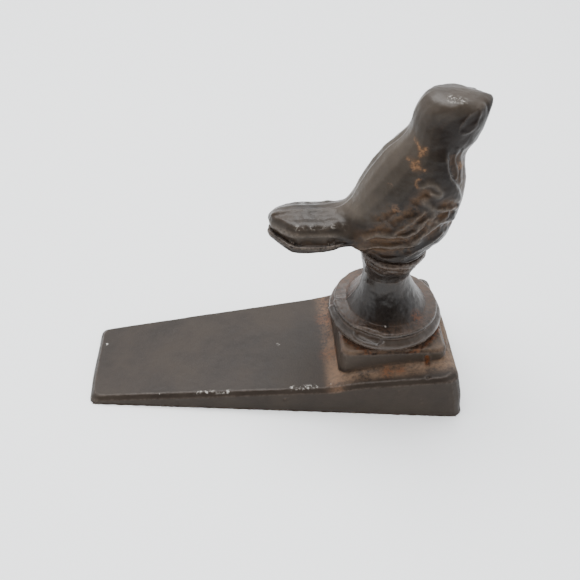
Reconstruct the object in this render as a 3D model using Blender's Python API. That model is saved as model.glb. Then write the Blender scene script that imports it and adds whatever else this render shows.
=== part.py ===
"""Cast iron wedge door stop: a draft-sided wedge, a turned pedestal and a bird, held by one screw.

Metres, +Z up. The origin is on the floor under the middle of the wedge. The thin toe of the wedge
points to -X and the heel to +X, and the bird looks towards +X.
"""

import math

import bmesh
import bpy

MM = 0.001
GAP = 0.3 * MM

# Wedge
LENGTH = 140 * MM
TOE_HALF_WIDTH = 19.6 * MM
HEEL_HALF_WIDTH = 32.9 * MM
SIDE_DRAFT = 0.160
HEEL_DRAFT = 0.210
EDGE_ROUND = 1.4 * MM
TOE_THICKNESS = 2.6 * MM
RAMP_SLOPE = 0.086
TOE_CORNER = 2.5 * MM
HEEL_CORNER = 4.5 * MM
STEP_START = 17 * MM
STEP_END = 32 * MM
STEP_RISE = 1.6 * MM
PAD_EXTRA_SLOPE = 0.045

# Square plinth cast on top of the wedge
AXIS_X = 41.9 * MM
PLINTH_CENTRE_X = 44 * MM
PLINTH_HALF = 19.5 * MM
PLINTH_CORNER = 3.2 * MM
PLINTH_TOP = 22.4 * MM
PLINTH_DRAFT = 0.06
PLINTH_ROOT = 8 * MM

# Pedestal
FOOT_RADIUS = 19.4 * MM
TORUS_RADIUS = 21.7 * MM
TORUS_SHIFT = 1.1 * MM
RING_RADIUS = 19.1 * MM
RING_TOP = 30.5 * MM
SCOTIA_FOOT = 13.3 * MM
NECK_RADIUS = 8.5 * MM
NECK_HEIGHT = 46.5 * MM
CAPITAL_RADIUS = 12.2 * MM
CAPITAL_SHIFT = 1.7 * MM
CAPITAL_FOOT = 54.6 * MM
SEAT_HEIGHT = 57.2 * MM
TORUS_MARGIN = 0.4 * MM
RING_WAIST = 0.5 * MM
RING_DEPTH = 1.1 * MM
CAPITAL_EDGE = 0.7 * MM

# Screw from below
SHANK_RADIUS = 2.5 * MM
HEAD_RADIUS = 4.8 * MM
HEAD_HEIGHT = 3.4 * MM
WASHER_RADIUS = 5.2 * MM
WASHER_THICKNESS = 1.3 * MM
COUNTERBORE_RADIUS = 6.5 * MM
COUNTERBORE_DEPTH = 7 * MM
CLEARANCE_RADIUS = 2.9 * MM
SCREW_TOP = 74 * MM
TAPPED_TOP = 76 * MM
HEX_SOCKET_RADIUS = 2.3 * MM
HEX_SOCKET_DEPTH = 2 * MM
HEAD_CHAMFER = 0.4 * MM
POINT_LENGTH = 1 * MM
POINT_TAPER = 0.7 * MM

# Bird, one station for each cross-section from the tail's end to the beak's tip, in millimetres:
# top x, top z, underside x, underside z, half-width, depth of the widest line as a fraction,
# and the roundness of the upper and the lower side (1 is a straight roof, 2 an ellipse)
BIRD_STATIONS = [
    (-2.0, 71.8, -2.3, 64.6, 2.4, 0.50, 1.5, 3.0),
    (-0.6, 72.6, -0.9, 63.9, 4.9, 0.54, 1.3, 4.0),
    (2.6, 73.2, 2.4, 63.2, 8.5, 0.58, 1.2, 5.0),
    (7.6, 73.5, 7.6, 62.8, 11.5, 0.62, 1.2, 5.0),
    (17.0, 73.4, 17.5, 62.9, 11.8, 0.62, 1.2, 4.0),
    (22.6, 74.4, 25.5, 62.6, 10.4, 0.58, 1.4, 3.0),
    (26.6, 78.2, 34.0, 57.2, 10.8, 0.54, 1.7, 2.4),
    (30.8, 87.5, 48.0, 53.5, 13.2, 0.56, 1.9, 2.2),
    (36.4, 96.6, 58.6, 61.0, 13.8, 0.56, 2.0, 2.2),
    (41.0, 102.3, 63.4, 74.6, 13.2, 0.52, 2.0, 2.2),
    (43.8, 106.5, 64.4, 87.5, 11.4, 0.50, 2.0, 2.2),
    (45.1, 112.5, 63.3, 95.6, 9.9, 0.48, 2.0, 2.0),
    (48.4, 117.7, 65.8, 100.8, 9.7, 0.45, 2.0, 2.0),
    (54.5, 119.4, 67.6, 106.0, 8.9, 0.45, 2.0, 2.0),
    (61.5, 118.4, 68.3, 110.0, 6.8, 0.45, 2.0, 2.0),
    (66.4, 117.6, 69.0, 113.0, 4.0, 0.45, 2.0, 2.0),
    (68.8, 116.9, 69.5, 114.8, 1.7, 0.45, 2.0, 2.0),
]
BEAK_TIP = (69.8, 115.8)
SECTIONS_BETWEEN = 3
POINTS_ROUND = 24

SIDES = 48
WASHER_SIDES = 32
SCREW_SIDES = 24
STRAIGHT_STEPS = 26
CORNER_STEPS = 4
CREASE_ANGLE = 35
CUTTER_MARGIN = 5 * MM
CUTTER_LOW = 30 * MM
SEAT_CUTTER_RADIUS = 40 * MM


def clear_scene():
    for obj in list(bpy.data.objects):
        bpy.data.objects.remove(obj)


def material(name, hex_colour, roughness, metallic):
    finish = bpy.data.materials.new(name)
    finish.use_nodes = True
    shader = finish.node_tree.nodes["Principled BSDF"]
    channels = [int(hex_colour[i:i + 2], 16) / 255 for i in (0, 2, 4)]
    linear = [c / 12.92 if c <= 0.04045 else ((c + 0.055) / 1.055) ** 2.4 for c in channels]
    shader.inputs["Base Color"].default_value = (*linear, 1)
    shader.inputs["Roughness"].default_value = roughness
    shader.inputs["Metallic"].default_value = metallic
    finish.diffuse_color = (*linear, 1)
    return finish


def new_object(name, mesh_source, finish):
    bmesh.ops.recalc_face_normals(mesh_source, faces=mesh_source.faces)
    mesh = bpy.data.meshes.new(name)
    mesh_source.to_mesh(mesh)
    mesh_source.free()
    mesh.shade_smooth()
    mesh.set_sharp_from_angle(angle=math.radians(CREASE_ANGLE))
    obj = bpy.data.objects.new(name, mesh)
    bpy.context.scene.collection.objects.link(obj)
    if finish:
        mesh.materials.append(finish)
    return obj


def as_cutter(obj):
    obj.hide_render = True
    obj.display_type = "WIRE"
    return obj


def boolean(obj, other, operation):
    modifier = obj.modifiers.new(other.name, "BOOLEAN")
    modifier.object = other
    modifier.operation = operation
    modifier.solver = "EXACT"


def skin(rings, closed_ends=True):
    """A closed mesh through rings of points that all have the same count."""
    shape = bmesh.new()
    loops = [[shape.verts.new(point) for point in ring] for ring in rings]
    count = len(loops[0])
    for lower, upper in zip(loops, loops[1:]):
        for i in range(count):
            j = (i + 1) % count
            shape.faces.new((lower[i], lower[j], upper[j], upper[i]))
    if closed_ends:
        shape.faces.new(list(reversed(loops[0])))
        shape.faces.new(loops[-1])
    return shape


def turned(profile, sides):
    """A closed mesh turned about the vertical. The profile is a closed loop of (radius, z, centre x)."""
    shape = bmesh.new()
    columns = []
    for step in range(sides):
        angle = 2 * math.pi * step / sides
        cos, sin = math.cos(angle), math.sin(angle)
        columns.append([shape.verts.new((x + r * cos, r * sin, z)) for r, z, x in profile])
    for here, after in zip(columns, columns[1:] + columns[:1]):
        for i in range(len(profile)):
            j = (i + 1) % len(profile)
            shape.faces.new((here[i], after[i], after[j], here[j]))
    return shape


def rod(name, radius, bottom, top, x=AXIS_X):
    """A plain cylinder, used only to cut with."""
    angles = [2 * math.pi * step / SIDES for step in range(SIDES)]
    rings = [
        [(x + radius * math.cos(a), radius * math.sin(a), z) for a in angles]
        for z in (bottom, top)
    ]
    return as_cutter(new_object(name, skin(rings), None))


def smooth_step(value, start, end):
    t = min(1, max(0, (value - start) / (end - start)))
    return t * t * (3 - 2 * t)


def wedge_top(x):
    """Height of the wedge's upper face, a ramp with a soft step up to the pad."""
    ramp = TOE_THICKNESS + RAMP_SLOPE * (x + LENGTH / 2)
    pad = STEP_RISE + PAD_EXTRA_SLOPE * (x - STEP_END)
    return ramp + pad * smooth_step(x, STEP_START, STEP_END)


def half_width(x):
    along = (x + LENGTH / 2) / LENGTH
    return TOE_HALF_WIDTH + (HEEL_HALF_WIDTH - TOE_HALF_WIDTH) * along


def edge_stations(start, end, toe_corner, heel_corner):
    """(x, inset) pairs along one side, with a quarter circle at each end."""
    quarter = [math.pi / 2 * i / CORNER_STEPS for i in range(CORNER_STEPS + 1)]
    toe = [(start + toe_corner * (1 - math.cos(a)), toe_corner * (1 - math.sin(a))) for a in quarter]
    heel = [(end - heel_corner * (1 - math.cos(a)), heel_corner * (1 - math.sin(a))) for a in quarter]
    first, last = toe[-1][0], heel[-1][0]
    middle = [(first + (last - first) * i / STRAIGHT_STEPS, 0) for i in range(1, STRAIGHT_STEPS)]
    return toe + middle + heel[::-1]


def wedge_ring(stations, width, height):
    near = [(x, -(width(x) - inset), height(x)) for x, inset in stations]
    far = [(x, width(x) - inset, height(x)) for x, inset in stations]
    return near, far


def make_wedge():
    half = LENGTH / 2
    floor_stations = edge_stations(-half, half, TOE_CORNER, HEEL_CORNER)
    toe_inset = SIDE_DRAFT * TOE_THICKNESS
    heel_inset = HEEL_DRAFT * wedge_top(half)

    def shoulder_width(x):
        return half_width(x) - SIDE_DRAFT * (wedge_top(x) - EDGE_ROUND)

    def top_width(x):
        return half_width(x) - SIDE_DRAFT * wedge_top(x) - EDGE_ROUND

    shoulder = edge_stations(
        -half + toe_inset, half - heel_inset + EDGE_ROUND * HEEL_DRAFT, TOE_CORNER, HEEL_CORNER
    )
    crest = edge_stations(
        -half + toe_inset + EDGE_ROUND, half - heel_inset - EDGE_ROUND, TOE_CORNER, HEEL_CORNER
    )
    levels = [
        wedge_ring(floor_stations, half_width, lambda x: 0),
        wedge_ring(shoulder, shoulder_width, lambda x: wedge_top(x) - EDGE_ROUND),
        wedge_ring(crest, top_width, wedge_top),
    ]
    shape = bmesh.new()
    rows = [[[shape.verts.new(p) for p in side] for side in level] for level in levels]
    count = len(floor_stations)
    for (near_low, far_low), (near_high, far_high) in zip(rows, rows[1:]):
        for i in range(count - 1):
            shape.faces.new((near_low[i], near_low[i + 1], near_high[i + 1], near_high[i]))
            shape.faces.new((far_low[i + 1], far_low[i], far_high[i], far_high[i + 1]))
        for i, order in ((0, 1), (count - 1, -1)):
            corners = (far_low[i], near_low[i], near_high[i], far_high[i])
            shape.faces.new(corners[::order])
    for (near, far), order in ((rows[0], -1), (rows[-1], 1)):
        for i in range(count - 1):
            shape.faces.new((near[i], near[i + 1], far[i + 1], far[i])[::order])
    return shape


def rounded_square(centre_x, half, corner, z):
    points = []
    for quadrant in range(4):
        start = quadrant * math.pi / 2
        side_x = 1 if quadrant in (0, 3) else -1
        side_y = 1 if quadrant < 2 else -1
        for i in range(CORNER_STEPS + 1):
            angle = start + math.pi / 2 * i / CORNER_STEPS
            points.append((
                centre_x + side_x * (half - corner) + corner * math.cos(angle),
                side_y * (half - corner) + corner * math.sin(angle),
                z,
            ))
    return points


def make_wedge_base(finish):
    base = new_object("wedge_base", make_wedge(), finish)
    levels = [
        (PLINTH_ROOT, PLINTH_HALF + PLINTH_DRAFT * (PLINTH_TOP - PLINTH_ROOT)),
        (PLINTH_TOP - EDGE_ROUND, PLINTH_HALF),
        (PLINTH_TOP, PLINTH_HALF - EDGE_ROUND * 0.8),
    ]
    rings = [rounded_square(PLINTH_CENTRE_X, half, PLINTH_CORNER, z) for z, half in levels]
    plinth = as_cutter(new_object("plinth_block", skin(rings), None))
    boolean(base, plinth, "UNION")
    low, high = -CUTTER_MARGIN, PLINTH_TOP + CUTTER_MARGIN
    boolean(base, rod("wedge_clearance_hole", CLEARANCE_RADIUS, low, high), "DIFFERENCE")
    boolean(base, rod("wedge_counterbore", COUNTERBORE_RADIUS, low, COUNTERBORE_DEPTH), "DIFFERENCE")
    return base


def pedestal_profile():
    """Outer side from foot to capital, as (radius, z, centre x)."""
    foot = PLINTH_TOP + GAP
    bulge_low, bulge_high = foot + TORUS_MARGIN, RING_TOP - RING_DEPTH - GAP
    middle = (bulge_low + bulge_high) / 2
    reach = (bulge_high - bulge_low) / 2
    points = [(FOOT_RADIUS, foot, AXIS_X)]
    for i in range(9):
        angle = math.pi * i / 8
        bulge = math.sin(angle)
        radius = FOOT_RADIUS + (TORUS_RADIUS - FOOT_RADIUS) * bulge
        points.append((radius, middle - reach * math.cos(angle), AXIS_X + TORUS_SHIFT * bulge))
    points.append((RING_RADIUS - RING_WAIST, RING_TOP - RING_DEPTH, AXIS_X))
    points.append((RING_RADIUS, RING_TOP - RING_WAIST, AXIS_X))
    points.append((RING_RADIUS - TORUS_MARGIN, RING_TOP, AXIS_X))
    scotia_low = RING_TOP + GAP
    steps = 9
    for i in range(steps + 1):
        t = i / steps
        radius = NECK_RADIUS + (SCOTIA_FOOT - NECK_RADIUS) * (1 - t) ** 1.7
        points.append((radius, scotia_low + (NECK_HEIGHT - scotia_low) * t, AXIS_X))
    steps = 5
    for i in range(1, steps + 1):
        t = i / steps
        radius = NECK_RADIUS + (CAPITAL_RADIUS - NECK_RADIUS) * (1 - math.cos(t * math.pi / 2))
        z = NECK_HEIGHT + (CAPITAL_FOOT - NECK_HEIGHT) * t
        points.append((radius, z, AXIS_X + CAPITAL_SHIFT * smooth_step(t, 0, 1)))
    capital_x = AXIS_X + CAPITAL_SHIFT
    points.append((CAPITAL_RADIUS, SEAT_HEIGHT - CAPITAL_EDGE, capital_x))
    points.append((CAPITAL_RADIUS - CAPITAL_EDGE, SEAT_HEIGHT, capital_x))
    return points


def make_pedestal(finish):
    bore = [(CLEARANCE_RADIUS, SEAT_HEIGHT, AXIS_X), (CLEARANCE_RADIUS, PLINTH_TOP + GAP, AXIS_X)]
    return new_object("pedestal", turned(pedestal_profile() + bore, SIDES), finish)


def catmull_rom(before, start, end, after, t):
    return tuple(
        0.5 * (2 * b + (c - a) * t + (2 * a - 5 * b + 4 * c - d) * t ** 2 + (3 * b - a - 3 * c + d) * t ** 3)
        for a, b, c, d in zip(before, start, end, after)
    )


def bird_ring(station):
    """One cross-section: a ridge on the back, full flanks and a rounded underside."""
    top_x, top_z, low_x, low_z, width, widest, upper, lower = station
    ring = []
    for i in range(POINTS_ROUND):
        angle = 2 * math.pi * i / POINTS_ROUND
        cos, sin = math.cos(angle), math.sin(angle)
        if cos > 0:
            power = 2 / upper
            depth = widest * (1 - cos ** power)
        else:
            power = 2 / lower
            depth = widest + (1 - widest) * abs(cos) ** power
        side = math.copysign(abs(sin) ** power, sin) * width
        ring.append((
            (top_x + (low_x - top_x) * depth) * MM,
            side * MM,
            (top_z + (low_z - top_z) * depth) * MM,
        ))
    return ring


def make_bird(finish):
    stations = BIRD_STATIONS
    rings = []
    for i in range(len(stations) - 1):
        before = stations[max(0, i - 1)]
        after = stations[min(len(stations) - 1, i + 2)]
        for k in range(SECTIONS_BETWEEN):
            t = k / SECTIONS_BETWEEN
            rings.append(bird_ring(catmull_rom(before, stations[i], stations[i + 1], after, t)))
    rings.append(bird_ring(stations[-1]))
    shape = skin(rings, closed_ends=False)
    shape.verts.ensure_lookup_table()
    first = [shape.verts[i] for i in range(POINTS_ROUND)]
    last = [shape.verts[len(shape.verts) - POINTS_ROUND + i] for i in range(POINTS_ROUND)]
    shape.faces.new(first[::-1])
    tip = shape.verts.new((BEAK_TIP[0] * MM, 0, BEAK_TIP[1] * MM))
    for i in range(POINTS_ROUND):
        shape.faces.new((last[i], last[(i + 1) % POINTS_ROUND], tip))
    bird = new_object("bird", shape, finish)
    seat = SEAT_HEIGHT + GAP
    below = rod("bird_seat_cut", SEAT_CUTTER_RADIUS, CUTTER_LOW, seat, x=AXIS_X + CAPITAL_SHIFT)
    boolean(bird, below, "DIFFERENCE")
    hole = rod("bird_tapped_hole", CLEARANCE_RADIUS, CUTTER_LOW, TAPPED_TOP)
    boolean(bird, hole, "DIFFERENCE")
    return bird


def make_screw(finish):
    """Socket-head machine screw, head down in the counterbore."""
    under_head = COUNTERBORE_DEPTH - GAP - WASHER_THICKNESS - GAP
    angles = [2 * math.pi * i / SCREW_SIDES for i in range(SCREW_SIDES)]
    hexagon = []
    for a in angles:
        sector = (a + math.pi / 6) % (math.pi / 3) - math.pi / 6
        hexagon.append(HEX_SOCKET_RADIUS * math.cos(math.pi / 6) / math.cos(sector))
    head_low = under_head - HEAD_HEIGHT
    levels = [
        (hexagon, head_low + HEX_SOCKET_DEPTH),
        (hexagon, head_low),
        ([HEAD_RADIUS - HEAD_CHAMFER] * SCREW_SIDES, head_low),
        ([HEAD_RADIUS] * SCREW_SIDES, head_low + HEAD_CHAMFER),
        ([HEAD_RADIUS] * SCREW_SIDES, under_head),
        ([SHANK_RADIUS] * SCREW_SIDES, under_head),
        ([SHANK_RADIUS] * SCREW_SIDES, SCREW_TOP - POINT_LENGTH),
        ([SHANK_RADIUS - POINT_TAPER] * SCREW_SIDES, SCREW_TOP),
    ]
    rings = [
        [(AXIS_X + r * math.cos(a), r * math.sin(a), z) for r, a in zip(radii, angles)]
        for radii, z in levels
    ]
    return new_object("fixing_screw", skin(rings), finish)


def make_washer(finish):
    top = COUNTERBORE_DEPTH - GAP
    bottom = top - WASHER_THICKNESS
    inner = SHANK_RADIUS + GAP
    corners = [(inner, bottom), (WASHER_RADIUS, bottom), (WASHER_RADIUS, top), (inner, top)]
    profile = [(radius, z, AXIS_X) for radius, z in corners]
    return new_object("plain_washer", turned(profile, WASHER_SIDES), finish)


clear_scene()
base_finish = material("wedge_lacquered_iron", "4A413A", 0.42, 0.55)
pedestal_finish = material("pedestal_lacquered_iron", "443B34", 0.45, 0.55)
bird_finish = material("bird_lacquered_iron", "3F3833", 0.40, 0.55)
steel = material("zinc_plated_steel", "A9ABA8", 0.35, 1.0)
make_wedge_base(base_finish)
make_pedestal(pedestal_finish)
make_bird(bird_finish)
make_screw(steel)
make_washer(steel)
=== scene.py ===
"""Cast iron wedge door stop with a bird on a turned pedestal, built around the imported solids.

The scene is in metres, +Z up, with the toe of the wedge at -X and the bird looking towards +X.
Sizes below are in millimetres in the same frame unless they carry MM.
"""

import math

import bmesh
import bpy
import numpy as np
from mathutils import Matrix, Vector


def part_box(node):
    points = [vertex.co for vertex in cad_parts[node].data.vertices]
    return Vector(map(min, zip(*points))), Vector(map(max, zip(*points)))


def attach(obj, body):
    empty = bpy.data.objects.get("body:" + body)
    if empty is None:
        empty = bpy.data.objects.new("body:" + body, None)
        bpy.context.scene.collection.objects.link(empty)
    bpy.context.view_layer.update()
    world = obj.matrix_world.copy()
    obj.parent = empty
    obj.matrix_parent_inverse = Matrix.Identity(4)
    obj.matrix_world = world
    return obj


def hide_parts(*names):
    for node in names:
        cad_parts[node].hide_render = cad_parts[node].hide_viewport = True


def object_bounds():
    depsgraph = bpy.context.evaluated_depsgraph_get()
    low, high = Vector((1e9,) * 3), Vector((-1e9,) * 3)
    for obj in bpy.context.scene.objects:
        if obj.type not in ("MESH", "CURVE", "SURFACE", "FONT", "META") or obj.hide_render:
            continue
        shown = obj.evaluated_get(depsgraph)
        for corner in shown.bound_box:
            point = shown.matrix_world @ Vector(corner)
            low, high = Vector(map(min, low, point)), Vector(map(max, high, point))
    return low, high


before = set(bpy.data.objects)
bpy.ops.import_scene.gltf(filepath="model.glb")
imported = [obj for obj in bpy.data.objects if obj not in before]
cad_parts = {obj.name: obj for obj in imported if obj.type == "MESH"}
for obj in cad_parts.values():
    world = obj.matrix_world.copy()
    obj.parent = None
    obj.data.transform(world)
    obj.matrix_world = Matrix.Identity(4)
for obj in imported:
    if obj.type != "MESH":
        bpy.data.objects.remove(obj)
cad_low, cad_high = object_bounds()


# ---------------------------------------------------------------------------------------------
# Wedge base. One sand casting in grey iron: a ramp with leaning sides, a raised pad at the heel
# and a square plinth on the pad. The mould leaves soft edges and a fillet at the plinth's foot,
# the casting is dipped in brown-black lacquer, and rust comes through where the lacquer is thin.

MM = 0.001
WEDGE_VOXEL = 0.52
LENGTH = 140
TOE_X = -70
RIM_AT_TOE, RIM_AT_HEEL = 19.6, 32.9    # half widths of the rim on the floor
TOE_THICKNESS, RAMP_SLOPE = 2.6, 0.086
STEP_START, STEP_END = 17, 32           # where the ramp rises to the pad
STEP_RISE, PAD_EXTRA_SLOPE = 1.6, 0.045
PLINTH_CENTRE_X, PLINTH_HALF, PLINTH_CORNER = 44, 19.5, 3.2
FILLET_RADIUS = 2.2
FILLET_RINGS, FILLET_SIDES = 7, 96
FILLET_TUCK = 0.6                       # how far its last ring is tucked into the plinth
FILLET_DEPTH = 2.5                      # how far its skirt reaches down into the wedge
JOINT_CENTRE_X, JOINT_RADIUS = 43, 20.9     # the line round the pedestal's foot
# Casting marks and knocks as (x, y, z), or lines through such places.
EDGE_NICK = (55.9, -26.9, 16.1)
GOUGE = ((56.5, -20.0, 19.0), (57.4, -20.4, 13.6))
SPUR = (67.2, -19.1, 20.0)
SUNK_CORNER = (24.5, 19.5, 21.0)
EDGE_SCUFF = ((6.0, -23.4, 9.4), (14.5, -24.0, 10.0))
FAINT_SCUFF = ((-30.0, -21.2, 6.0), (-17.0, -22.3, 7.1))
SIDE_PITS = ((54.0, -29.5, 6.0), (46.3, -28.9, 10.8), (3.1, -26.5, 5.5), (12.0, -28.0, 4.0))


def linear(hex_colour):
    """An sRGB hex colour as linear RGBA."""
    channels = [int(hex_colour[i:i + 2], 16) / 255 for i in (0, 2, 4)]
    return (*[c / 12.92 if c <= 0.04045 else ((c + 0.055) / 1.055) ** 2.4 for c in channels], 1)


def add(tree, kind, inputs=None, **settings):
    """Adds a node. Each entry of inputs is a value, or another node's output to link from."""
    node = tree.nodes.new(kind)
    for name, value in settings.items():
        setattr(node, name, value)
    for socket, value in (inputs or {}).items():
        if isinstance(value, bpy.types.NodeSocket):
            tree.links.new(value, node.inputs[socket])
        else:
            node.inputs[socket].default_value = value
    return node


def new_tree(name, sockets):
    """An empty geometry tree with a geometry input and output and the named inputs."""
    tree = bpy.data.node_groups.new(name, "GeometryNodeTree")
    tree.interface.new_socket("Geometry", in_out="INPUT", socket_type="NodeSocketGeometry")
    tree.interface.new_socket("Geometry", in_out="OUTPUT", socket_type="NodeSocketGeometry")
    for label, kind in sockets.items():
        tree.interface.new_socket(label, in_out="INPUT", socket_type="NodeSocket" + kind)
    return tree


def close_tree(tree, geometry, finish):
    """Ends a tree in Realize Instances and Set Material."""
    real = add(tree, "GeometryNodeRealizeInstances", {0: geometry})
    painted = add(tree, "GeometryNodeSetMaterial", {"Geometry": real.outputs[0], "Material": finish})
    add(tree, "NodeGroupOutput", {0: painted.outputs[0]})


def settle(source, name):
    """The evaluated mesh of an object as a new plain object, in place of the old one."""
    graph = bpy.context.evaluated_depsgraph_get()
    mesh = bpy.data.meshes.new_from_object(source.evaluated_get(graph), depsgraph=graph)
    mesh.name = name
    bpy.data.objects.remove(source)
    piece = bpy.data.objects.new(name, mesh)
    bpy.context.scene.collection.objects.link(piece)
    mesh.shade_smooth()
    return piece


def grow(source, tree, values, name):
    """Runs a tree on an object with the given inputs and keeps the result as a plain mesh."""
    modifier = source.modifiers.new(tree.name, "NODES")
    modifier.node_group = tree
    for item in tree.interface.items_tree:
        if item.in_out == "INPUT" and item.name in values:
            modifier[item.identifier] = values[item.name]
    return settle(source, name)


def from_bmesh(shape, name):
    mesh = bpy.data.meshes.new(name)
    shape.to_mesh(mesh)
    shape.free()
    piece = bpy.data.objects.new(name, mesh)
    bpy.context.scene.collection.objects.link(piece)
    return piece


def copy_of(node, name):
    """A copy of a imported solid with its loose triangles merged."""
    shape = bmesh.new()
    shape.from_mesh(bpy.data.objects[node].data)
    bmesh.ops.remove_doubles(shape, verts=shape.verts, dist=1e-6)
    return from_bmesh(shape, name)


def even_skin(form, voxel, passes, name):
    """Remeshes a casting to an even skin, lays it on the form and rounds its edges as sand does."""
    piece = bpy.data.objects.new(name, form.data.copy())
    bpy.context.scene.collection.objects.link(piece)
    remesh = piece.modifiers.new("even skin", "REMESH")
    remesh.mode = "VOXEL"
    remesh.voxel_size = voxel * MM
    laid = piece.modifiers.new("laid on the form", "SHRINKWRAP")
    laid.target = form
    laid.wrap_method = "NEAREST_SURFACEPOINT"
    smooth = piece.modifiers.new("soft edges", "SMOOTH")
    smooth.factor = 0.5
    smooth.iterations = passes
    piece = settle(piece, name)
    bpy.data.objects.remove(form)
    return piece


def read_points(piece):
    """The vertices and their normals, in millimetres."""
    mesh = piece.data
    points = np.empty(len(mesh.vertices) * 3, np.float32)
    normals = np.empty(len(mesh.vertices) * 3, np.float32)
    mesh.vertices.foreach_get("co", points)
    mesh.vertices.foreach_get("normal", normals)
    return points.reshape(-1, 3).astype(float) / MM, normals.reshape(-1, 3).astype(float)


def write_points(piece, points):
    piece.data.vertices.foreach_set("co", (points * MM).astype(np.float32).ravel())
    piece.data.update()


def mark(piece, **values):
    """Stores per-vertex numbers for the skin and the finish to read."""
    for name, value in values.items():
        layer = piece.data.attributes.new(name, "FLOAT", "POINT")
        layer.data.foreach_set("value", np.clip(value, 0, 1).astype(np.float32))


def soft_step(value, low, high):
    t = np.clip((value - low) / (high - low), 0, 1)
    return t * t * (3 - 2 * t)


def line_distance(points, line):
    """Distance of each point from a line through the given corners, in 2 or 3 dimensions."""
    best = np.full(len(points), np.inf)
    for start, end in zip(line, line[1:]):
        start, end = np.array(start, float), np.array(end, float)
        along = end - start
        t = np.clip((points - start) @ along / (along @ along), 0, 1)
        best = np.minimum(best, np.linalg.norm(points - start - t[:, None] * along, axis=1))
    return best


def spot(points, centre, radius):
    """1 at a centre, falling softly to 0 at a radius."""
    return 1 - soft_step(np.linalg.norm(points - np.array(centre), axis=1), 0.2 * radius, radius)


def cast_skin_tree():
    """Sand-cast skin: slow swell, fine grain, pits, crisper edges, and crest and hollow measured."""
    tree = new_tree("cast skin", {
        "Swell Height": "Float", "Swell Size": "Float", "Grain Height": "Float", "Grain Size": "Float",
        "Pit Depth": "Float", "Pit Size": "Float", "Crispness": "Float", "Seed": "Float",
        "Fine Passes": "Int", "Wide Passes": "Int", "Finish": "Material",
    })
    given = add(tree, "NodeGroupInput").outputs
    place = add(tree, "GeometryNodeInputPosition").outputs[0]
    normal = add(tree, "GeometryNodeInputNormal").outputs[0]

    scale = {
        size: add(tree, "ShaderNodeMath", {0: 1.0, 1: given[size]}, operation="DIVIDE").outputs[0]
        for size in ("Swell Size", "Grain Size", "Pit Size")
    }

    def rise_over(passes):
        """How far each point stands above its blurred surroundings, along its normal."""
        blurred = add(tree, "GeometryNodeBlurAttribute", {
            "Value": place, "Iterations": given[passes],
        }, data_type="FLOAT_VECTOR")
        rise = add(tree, "ShaderNodeVectorMath", {0: place, 1: blurred.outputs[0]}, operation="SUBTRACT")
        return add(tree, "ShaderNodeVectorMath", {
            0: rise.outputs[0], 1: normal,
        }, operation="DOT_PRODUCT").outputs["Value"]

    offset = add(tree, "ShaderNodeMath", {
        0: rise_over("Fine Passes"), 1: given["Crispness"],
    }, operation="MULTIPLY").outputs[0]
    for height, size, detail in (("Swell Height", "Swell Size", 2), ("Grain Height", "Grain Size", 3)):
        cloud = add(tree, "ShaderNodeTexNoise", {
            "Vector": place, "W": given["Seed"], "Scale": scale[size], "Detail": detail,
        }, noise_dimensions="4D")
        centred = add(tree, "ShaderNodeMath", {0: cloud.outputs["Fac"], 1: 0.5}, operation="SUBTRACT")
        offset = add(tree, "ShaderNodeMath", {
            0: centred.outputs[0], 1: given[height], 2: offset,
        }, operation="MULTIPLY_ADD").outputs[0]
    bubbles = add(tree, "ShaderNodeTexVoronoi", {"Vector": place, "Scale": scale["Pit Size"]})
    inside = add(tree, "ShaderNodeMapRange", {
        "Value": bubbles.outputs["Distance"], 1: 0.15, 2: 0.55, 3: 1.0, 4: 0.0,
    }, interpolation_type="SMOOTHSTEP")
    pitted = add(tree, "GeometryNodeInputNamedAttribute", {"Name": "pitted"}, data_type="FLOAT")
    masked = add(tree, "ShaderNodeMath", {0: inside.outputs[0], 1: pitted.outputs[0]}, operation="MULTIPLY")
    depth = add(tree, "ShaderNodeMath", {0: masked.outputs[0], 1: given["Pit Depth"]}, operation="MULTIPLY")
    offset = add(tree, "ShaderNodeMath", {0: offset, 1: depth.outputs[0]}, operation="SUBTRACT").outputs[0]
    along = add(tree, "ShaderNodeVectorMath", {0: normal, "Scale": offset}, operation="SCALE")
    shape = add(tree, "GeometryNodeSetPosition", {0: given[0], "Offset": along.outputs[0]})
    for label, passes in (("crest", "Fine Passes"), ("hollow", "Wide Passes")):
        in_mm = add(tree, "ShaderNodeMath", {0: rise_over(passes), 1: 1 / MM}, operation="MULTIPLY")
        shape = add(tree, "GeometryNodeStoreNamedAttribute", {
            "Geometry": shape.outputs[0], "Name": label, "Value": in_mm.outputs[0],
        }, data_type="FLOAT", domain="POINT")
    close_tree(tree, shape.outputs[0], given["Finish"])
    return tree


cast_skin = cast_skin_tree()


def hold_in_box(piece):
    """Keeps the uneven skin inside the whole object's box and off the floor."""
    points, _ = read_points(piece)
    write_points(piece, np.clip(points, np.array(cad_low) / MM, np.array(cad_high) / MM))


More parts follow.
